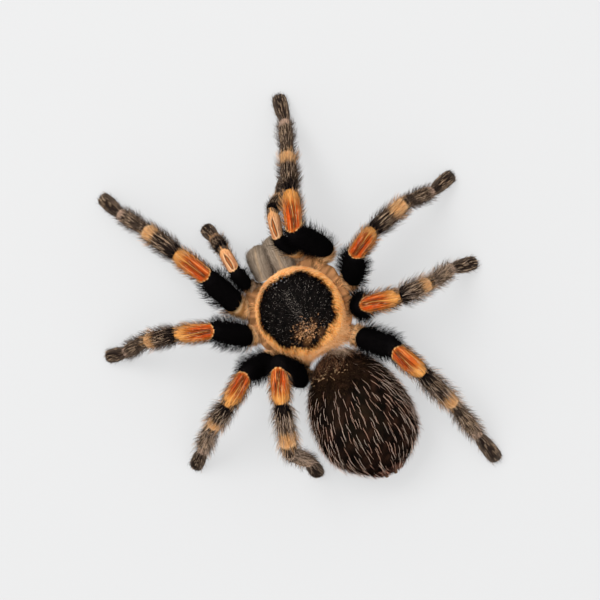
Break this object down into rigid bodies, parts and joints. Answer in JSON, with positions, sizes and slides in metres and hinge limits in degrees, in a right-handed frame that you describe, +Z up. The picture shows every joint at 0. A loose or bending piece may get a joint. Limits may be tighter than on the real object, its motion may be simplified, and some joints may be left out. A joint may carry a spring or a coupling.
{
  "type": "tarantula figure",
  "caption": "Life-size still model of a red knee tarantula standing on bent legs, with a domed carapace and an egg-shaped abdomen.",
  "frame": {"origin": "on the floor under the middle of the box round the whole spider", "axes": "the spider faces -Y, +X is its left, +Z is up"},
  "size_m": [0.0994, 0.1092, 0.0249],
  "materials": {
    "black": "velvety black coat of short hair",
    "flame": "orange-red coat of short hair",
    "brown": "dark brown coat",
    "grey": "grey-brown coat",
    "tan": "tan coat",
    "bronze": "dark brown coat under long pale hair",
    "eye": "glassy dark lens"
  },
  "bodies": {
    "root": {"abdomen": "bronze", "carapace": "black", "chelicera_left": "grey", "chelicera_right": "grey", "eye_front_middle_left": "eye", "eye_front_middle_right": "eye", "eye_front_side_left": "eye", "eye_front_side_right": "eye", "eye_rear_middle_left": "eye", "eye_rear_middle_right": "eye", "eye_rear_side_left": "eye", "eye_rear_side_right": "eye", "leg_1_left_coxa": "tan", "leg_1_left_femur": "black", "leg_1_left_foot": "grey", "leg_1_left_patella": "flame", "leg_1_left_tibia": "brown", "leg_1_right_coxa": "tan", "leg_1_right_femur": "black", "leg_1_right_foot": "grey", "leg_1_right_patella": "flame", "leg_1_right_tibia": "brown", "leg_2_left_coxa": "tan", "leg_2_left_femur": "black", "leg_2_left_foot": "grey", "leg_2_left_patella": "flame", "leg_2_left_tibia": "brown", "leg_2_right_coxa": "tan", "leg_2_right_femur": "black", "leg_2_right_foot": "grey", "leg_2_right_patella": "flame", "leg_2_right_tibia": "brown", "leg_3_left_coxa": "tan", "leg_3_left_femur": "black", "leg_3_left_foot": "grey", "leg_3_left_patella": "flame", "leg_3_left_tibia": "brown", "leg_3_right_coxa": "tan", "leg_3_right_femur": "black", "leg_3_right_foot": "grey", "leg_3_right_patella": "flame", "leg_3_right_tibia": "brown", "leg_4_left_coxa": "tan", "leg_4_left_femur": "black", "leg_4_left_foot": "grey", "leg_4_left_patella": "flame", "leg_4_left_tibia": "brown", "leg_4_right_coxa": "tan", "leg_4_right_femur": "black", "leg_4_right_foot": "grey", "leg_4_right_patella": "flame", "leg_4_right_tibia": "brown", "palp_left_femur": "black", "palp_left_tarsus": "grey", "palp_left_tibia": "flame", "palp_right_femur": "black", "palp_right_tarsus": "grey", "palp_right_tibia": "flame", "sternum": "brown"}
  },
  "joints": []
}
